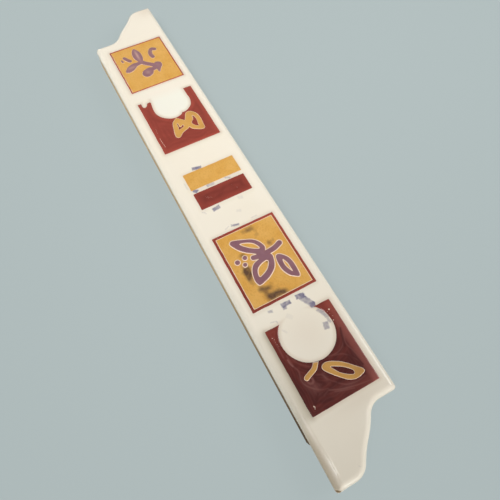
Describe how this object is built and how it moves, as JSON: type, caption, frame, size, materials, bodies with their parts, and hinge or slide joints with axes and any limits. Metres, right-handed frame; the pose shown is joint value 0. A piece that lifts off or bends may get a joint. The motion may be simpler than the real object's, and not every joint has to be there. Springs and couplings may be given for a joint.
{
  "type": "border tile",
  "caption": "Long narrow glazed earthenware border tile with matching ogee ends that lock into its neighbours, rolled face edges and a keyed bedding pad behind.",
  "frame": {"origin": "on the back of the bedding pad, under the middle of the tile's box", "axes": "+X along the tile, +Y across it, +Z out of the decorated face"},
  "size_m": [0.3288, 0.0492, 0.013],
  "materials": {
    "cream_glaze": "glossy cream glaze over buff earthenware",
    "ochre_glaze": "glossy ochre glaze",
    "oxblood_glaze": "thick glossy oxblood glaze",
    "plum_glaze": "satin plum glaze"
  },
  "bodies": {
    "root": {"border_tile": "cream_glaze"}
  },
  "joints": []
}
